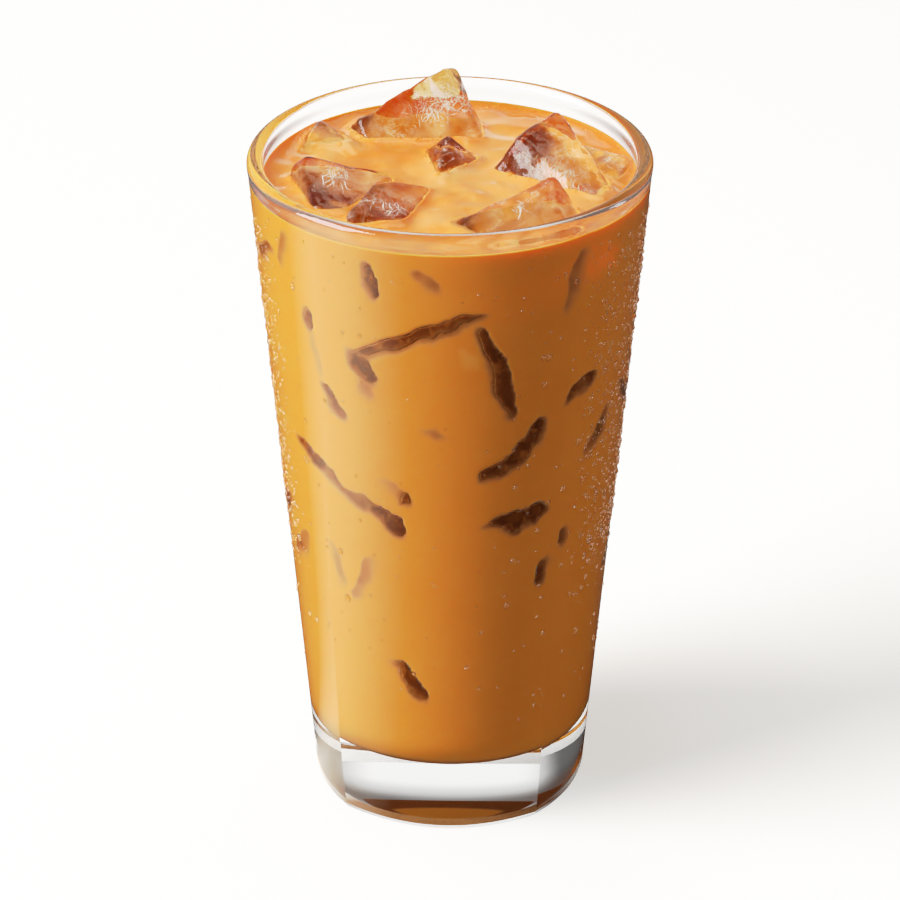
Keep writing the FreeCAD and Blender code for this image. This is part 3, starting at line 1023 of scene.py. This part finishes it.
def scatter(name, shape, items, mat):
    """items: (centre, 3x3 matrix).  One joined mesh."""
    bv, bf = shape
    V_ = np.concatenate([np.asarray(c) + bv @ np.asarray(M).T for c, M in items])
    F_ = []
    k = len(bv)
    for i in range(len(items)):
        F_ += [tuple(x + i * k for x in q) for q in bf]
    ob = make_mesh(name, V_, F_)
    ob.data.materials.append(mat)
    print(name, len(items), "pieces", sum(len(q) - 2 for q in F_), "triangles")
    return ob


COFFEE_BVH = bvh_of(coffee)


def surface_at(x, y):
    hit = COFFEE_BVH.ray_cast(Vector((x, y, LEVEL + 12.0)), Vector((0, 0, -1.0)))
    return None if hit[0] is None else hit[0].z


def bubble_material():
    m = Nodes("coffee_bubble")
    p = m.add("ShaderNodeBsdfPrincipled", Base_Color=rgb(1.0, 0.80, 0.55),
              Roughness=0.02, IOR=1.12, Transmission_Weight=1.0)
    q = m.add("ShaderNodeBsdfPrincipled", Base_Color=rgb(0.92, 0.36, 0.09),
              Roughness=0.05, IOR=1.34)
    lp = m.t.nodes.new("ShaderNodeLightPath")
    tr = m.t.nodes.new("ShaderNodeBsdfTransparent")
    a = m.t.nodes.new("ShaderNodeMixShader")
    a.inputs[0].default_value = 0.22
    m.link(p.outputs[0], a.inputs[1])
    m.link(q.outputs[0], a.inputs[2])
    b = m.t.nodes.new("ShaderNodeMixShader")
    m.link(m.math("MAXIMUM", lp.outputs["Is Shadow Ray"], lp.outputs["Is Diffuse Ray"]), b.inputs[0])
    m.link(a.outputs[0], b.inputs[1])
    m.link(tr.outputs[0], b.inputs[2])
    m.surface(b.outputs[0])
    return m.mat


def build_bubbles():
    g = np.random.default_rng(31)
    items = []
    counts = {"ice_back": 46, "ice_right": 30, "ice_front_right": 22, "ice_left": 26,
              "ice_front_left": 18, "ice_centre": 30, "ice_edge": 12, "ice_low": 14}
    for nm in ICE_NAMES:
        co = verts_of(ICE[nm])
        near = co[np.abs(co[:, 2] - LEVEL - 0.5) < 0.6]
        if not len(near):
            continue
        mid = co.mean(0)
        starts = near[g.integers(0, len(near), 9)]
        for _ in range(counts[nm]):
            s0 = starts[g.integers(0, len(starts))]
            p = near[np.argsort(np.hypot(near[:, 0] - s0[0], near[:, 1] - s0[1]))[g.integers(0, min(40, len(near)))]]
            d = p[:2] - mid[:2]
            d /= np.linalg.norm(d) + 1e-9
            r = float(np.exp(g.normal(math.log(0.32), 0.42)))
            r = min(r, 0.7)
            q = p[:2] + d * (r * 0.8 + abs(g.normal()) * 0.35)
            if np.hypot(*q) > inner_r(LEVEL) - r - 0.2:
                continue
            z = surface_at(q[0], q[1])
            if z is None or z < LEVEL - 0.6 or z > LEVEL + 2.5:
                continue
            items.append(((q[0], q[1], z + 0.15 * r), np.eye(3) * r))
    # a few along the edge of the glass
    for t in list(g.uniform(140, 205, 34)) + list(g.uniform(-180, 180, 60)):
        r = float(np.exp(g.normal(math.log(0.18), 0.4)))
        rr = inner_r(LEVEL) - r - abs(g.normal()) * 0.5
        x, y = rr * math.sin(math.radians(t)), -rr * math.cos(math.radians(t))
        z = surface_at(x, y)
        if z is not None and LEVEL - 0.5 < z < LEVEL + 2.0:
            items.append(((x, y, z + 0.1 * r), np.eye(3) * r))
    return scatter("coffee_bubbles", ball(6, 10), items, bubble_material())


bubbles = build_bubbles()
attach(bubbles, "root")


# ---- condensation on the outside -----------------------------------------------------
def build_drops():
    g = np.random.default_rng(19)
    items = []

    def put(deg, z, r, tall=1.0, flat=0.5):
        a = math.radians(deg)
        n = np.array([math.sin(a), -math.cos(a), -CONE_SLOPE])
        n /= np.linalg.norm(n)
        t = np.array([math.cos(a), math.sin(a), 0.0])
        u = np.cross(n, t)
        if u[2] < 0:
            u = -u
        rad = float(outer_r(z, np.array([deg % 360.0]))[0])
        c = np.array([rad * math.sin(a), -rad * math.cos(a), z]) + n * (-0.25 * r * flat)
        M = np.stack([t * r, u * r * tall, n * r * flat], 1)
        if np.linalg.det(M) < 0:
            M[:, 0] = -M[:, 0]
        items.append((c, M))

    def dens(deg, z):
        """Bare at the front, misted round the sides and the back."""
        d = (deg + 180.0) % 360.0 - 180.0
        side = smooth01((abs(d) - 40.0) / 18.0) if d > 0 else 0.75 * smooth01((abs(d) - 56.0) / 16.0)
        side *= 1.0 - 0.55 * smooth01((abs(d) - 95.0) / 30.0)
        high = smooth01((z - 52.0) / 22.0) * smooth01((146.0 - z) / 8.0)
        return side * high + 0.035

    n = 0
    while n < 4600:
        deg, z = g.uniform(-180, 180), g.uniform(28, 146)
        if g.random() > dens(deg, z):
            continue
        r = float(np.clip(np.exp(g.normal(math.log(0.34), 0.36)), 0.14, 0.85))
        put(deg, z, r, g.uniform(0.95, 1.40), g.uniform(0.62, 0.88))
        n += 1
    # the larger drops that stand out in front
    for deg, z, r in BIG_DROPS:
        put(deg, z, r, 1.15, 0.5)
    return scatter("condensation", ball(4, 6), items, MAT_WATER)


BIG_DROPS = ((-33.0, 127.0, 0.55), (-27.0, 127.3, 0.70), (-42.0, 108.5, 0.5), (-52.0, 133.0, 0.5),
             (30.5, 121.5, 0.85), (29.5, 115.0, 0.75), (52.0, 47.0, 0.9), (31.5, 140.0, 0.6),
             (34.5, 140.5, 0.6), (38.5, 138.0, 0.7))
drops = build_drops()
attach(drops, "root")


# ---- stage, light and camera ----------------------------------------------------
def stage():
    me = bpy.data.meshes.new("floor")
    s = 6.0
    me.from_pydata([(-s, -s, 0), (s, -s, 0), (s, s, 0), (-s, s, 0)], [], [(0, 1, 2, 3)])
    ob = bpy.data.objects.new("floor", me)
    bpy.context.scene.collection.objects.link(ob)
    m = Nodes("white_floor")
    lp = m.t.nodes.new("ShaderNodeLightPath")
    d = lp.outputs["Is Diffuse Ray"]
    refl = m.math("SUBTRACT", lp.outputs["Is Glossy Ray"], lp.outputs["Is Transmission Ray"], True)
    dim = m.math("MAXIMUM", d, refl)
    # painted shade for refracted rays: the floor is painted dark beyond the sides and towards the front, and dimmer
    # still for what has bounced inside the glass
    geo = m.t.nodes.new("ShaderNodeNewGeometry")
    sep = m.t.nodes.new("ShaderNodeSeparateXYZ")
    m.link(geo.outputs["Position"], sep.inputs[0])
    rr = m.math("SQRT", m.math("ADD", m.math("MULTIPLY", sep.outputs[0], sep.outputs[0]),
                               m.math("MULTIPLY", sep.outputs[1], sep.outputs[1])))
    ax = m.math("ABSOLUTE", sep.outputs[0])
    away = m.math("MAXIMUM", m.math("SUBTRACT", ax, 0.075), m.math("SUBTRACT", m.math("MULTIPLY", sep.outputs[1], -1.0), 0.032))
    fall = m.math("MULTIPLY", away, 9.0, True)
    bounced = m.math("MULTIPLY", m.math("MINIMUM", lp.outputs["Glossy Depth"], 1.0), 0.40)
    weak = m.math("MULTIPLY", m.math("SUBTRACT", 1.0, m.math("MULTIPLY", fall, 0.88)),
                  m.math("SUBTRACT", 1.0, bounced))
    thru = m.math("MULTIPLY", lp.outputs["Is Transmission Ray"], m.math("SUBTRACT", 1.0, weak))
    gain = m.math("SUBTRACT", 1.0, thru)
    # painted shadow: under the glass the floor is painted brown to camera and refracted rays, standing in for the
    # shade and coffee-coloured light beneath the drink
    under = m.math("MULTIPLY", m.math("SUBTRACT", 0.0300, rr), 420.0, True)
    under = m.math("MULTIPLY", under, m.math("MULTIPLY", m.math("SUBTRACT", -0.002, sep.outputs[1]), 90.0, True))
    lit = m.mix(gain, rgb(0.0, 0.0, 0.0), rgb(1.15, 1.15, 1.13))
    lit = m.mix(under, lit, rgb(0.34, 0.145, 0.048))
    # painted reflection: to reflection rays the floor is bright towards the front left and dark elsewhere, so a sheen
    # shows on the left of the glass and drink
    bearing = m.math("DIVIDE", m.math("MULTIPLY", sep.outputs[0], -1.0), m.math("ADD", rr, 0.001))
    leftward = m.math("MULTIPLY", m.math("SUBTRACT", bearing, 0.44), 2.3, True)
    ahead = m.math("DIVIDE", m.math("MULTIPLY", sep.outputs[1], -1.0), m.math("ADD", rr, 0.001))
    leftward = m.math("MULTIPLY", leftward, m.math("MULTIPLY", m.math("ADD", ahead, 0.24), 2.8, True))
    mirror = m.mix(leftward, rgb(0.03, 0.03, 0.03), rgb(1.6, 1.38, 1.08))
    seenby = m.mix(d, mirror, rgb(0.20, 0.20, 0.20))
    col = m.mix(dim, lit, seenby)
    bs = m.add("ShaderNodeBsdfDiffuse", Color=col)
    em = m.add("ShaderNodeEmission", Color=rgb(1, 1, 0.98))
    # painted shadow: the floor's glow is dimmed close to the base on the right, and is off under the glass
    close = m.math("SUBTRACT", 1.0, m.math("MULTIPLY", m.math("SUBTRACT", rr, 0.03), 14.0, True), True)
    east = m.math("ADD", m.math("MULTIPLY", sep.outputs[0], 22.0), 0.15, True)
    glow = m.math("SUBTRACT", 1.0, m.math("MULTIPLY", m.math("MULTIPLY", close, east), 0.65))
    glow = m.math("MULTIPLY", glow, m.math("SUBTRACT", 1.0, under))
    m.set(em, "Strength", m.math("MULTIPLY", m.math("MULTIPLY", m.math("MULTIPLY", m.math("SUBTRACT", 1.0, dim), gain), glow), 0.40))
    ad = m.t.nodes.new("ShaderNodeAddShader")
    m.link(bs.outputs[0], ad.inputs[0])
    m.link(em.outputs[0], ad.inputs[1])
    m.surface(ad.outputs[0])
    me.materials.append(m.mat)


stage()


def world():
    """White to the eye; behind clear things it is bright low down at the back
    and dim overhead and in front; as a light it is a low even fill."""
    w = bpy.data.worlds.new("studio")
    bpy.context.scene.world = w
    w.use_nodes = True
    t = w.node_tree
    t.nodes.clear()
    out = t.nodes.new("ShaderNodeOutputWorld")
    lp = t.nodes.new("ShaderNodeLightPath")
    tc = t.nodes.new("ShaderNodeTexCoord")
    sep = t.nodes.new("ShaderNodeSeparateXYZ")
    t.links.new(tc.outputs["Generated"], sep.inputs[0])

    def spread(sock, a, b, lo, hi):
        n = t.nodes.new("ShaderNodeMapRange")
        n.interpolation_type = "SMOOTHSTEP"
        for i, v in enumerate((a, b, lo, hi)):
            n.inputs[i + 1].default_value = v
        t.links.new(sock, n.inputs[0])
        return n.outputs[0]

    def op(kind, a, b):
        n = t.nodes.new("ShaderNodeMath")
        n.operation = kind
        for i, v in enumerate((a, b)):
            if isinstance(v, bpy.types.NodeSocket):
                t.links.new(v, n.inputs[i])
            else:
                n.inputs[i].default_value = v
        return n.outputs[0]

    def back(colour, strength):
        n = t.nodes.new("ShaderNodeBackground")
        n.inputs[0].default_value = colour
        if isinstance(strength, bpy.types.NodeSocket):
            t.links.new(strength, n.inputs[1])
        else:
            n.inputs[1].default_value = strength
        return n.outputs[0]

    def mixed(fac, a, b):
        n = t.nodes.new("ShaderNodeMixShader")
        t.links.new(fac, n.inputs[0])
        t.links.new(a, n.inputs[1])
        t.links.new(b, n.inputs[2])
        return n.outputs[0]

    high = spread(sep.outputs[2], 0.50, 0.70, 1.0, 0.05)
    rear = spread(sep.outputs[1], -0.35, 0.35, 0.06, 1.0)
    side = spread(op("ABSOLUTE", sep.outputs[0], 0.0), 0.25, 0.62, 1.0, 0.05)
    bounced = op("SUBTRACT", 1.0, op("MULTIPLY", op("MINIMUM", lp.outputs["Glossy Depth"], 1.0), 0.08))
    lobe = op("MULTIPLY", op("MULTIPLY", high, rear), side)
    seen = back((1.0, 0.995, 0.98, 1), op("MULTIPLY", op("ADD", op("MULTIPLY", lobe, 1.72), 0.06), bounced))
    left = spread(sep.outputs[0], -1.0, 1.0, 1.35, 0.65)
    fill = back((1.0, 0.985, 0.96, 1), op("MULTIPLY", left, 0.30))
    dark = back((1.0, 0.90, 0.78, 1), op("ADD", op("ADD", op("MULTIPLY", op("MULTIPLY", high, rear), 0.45), spread(sep.outputs[0], -0.25, -0.9, 0.0, 0.5)), 0.04))
    white = back((0.985, 1.0, 0.975, 1), 2.2)
    refl = op("SUBTRACT", lp.outputs["Is Glossy Ray"], lp.outputs["Is Transmission Ray"])
    a = mixed(lp.outputs["Is Transmission Ray"], fill, seen)
    b = mixed(op("MAXIMUM", refl, 0.0), a, dark)
    c = mixed(lp.outputs["Is Camera Ray"], b, white)
    t.links.new(c, out.inputs[0])


world()


def area(name, az, el, dist, sx, sy, watts, aim=(0, 0, 0.08), colour=(1, 1, 1)):
    """Soft box seen from the glass at azimuth az (0 front, + right)."""
    li = bpy.data.lights.new(name, "AREA")
    li.shape = "RECTANGLE"
    li.size, li.size_y = sx, sy
    li.energy = watts
    li.color = colour
    ob = bpy.data.objects.new(name, li)
    a, e = math.radians(az), math.radians(el)
    p = Vector(aim) + Vector((math.sin(a) * math.cos(e), -math.cos(a) * math.cos(e), math.sin(e))) * dist
    ob.location = p
    ob.rotation_euler = (Vector(aim) - p).to_track_quat("-Z", "Y").to_euler()
    bpy.context.scene.collection.objects.link(ob)
    return ob


area("key", -75, 33, 1.5, 0.9, 1.1, 47.0)
area("back_top", 160, 60, 1.4, 0.9, 0.6, 5.0, colour=(1.0, 0.86, 0.66))
area("glint", 105, 18, 1.1, 0.16, 0.5, 1.6)

cam_data = bpy.data.cameras.new("camera")
cam_data.lens = 143.136
cam_data.sensor_width = 36.0
cam_data.clip_start = 0.01
cam = bpy.data.objects.new("camera", cam_data)
cam.location = (0.0, -0.69713, 0.45835)
cam.rotation_euler = (math.radians(61.56), 0.0, 0.0)
bpy.context.scene.collection.objects.link(cam)
bpy.context.scene.camera = cam

sc = bpy.context.scene
sc.view_settings.view_transform = "Standard"
sc.view_settings.look = "None"
# a photographic shoulder: bright tones ease off before they clip
sc.view_settings.use_curve_mapping = True
cm = sc.view_settings.curve_mapping
cm.white_level = (2.2, 2.2, 2.2)
cv = cm.curves[3]
tone = ((0.0, 0.0), (0.0725, 0.087), (0.25, 0.30), (0.58, 0.604), (1.0, 0.745), (1.72, 0.956), (2.2, 1.0))
cv.points[0].location = (0.0, 0.0)
cv.points[1].location = (1.0, 1.0)
for x, y in tone[1:-1]:
    cv.points.new(x / 2.2, y)
cm.update()
sc.cycles.max_bounces = 18
sc.cycles.diffuse_bounces = 4
sc.cycles.glossy_bounces = 6
sc.cycles.transmission_bounces = 16
sc.cycles.transparent_max_bounces = 24
sc.cycles.caustics_reflective = False
sc.cycles.caustics_refractive = False

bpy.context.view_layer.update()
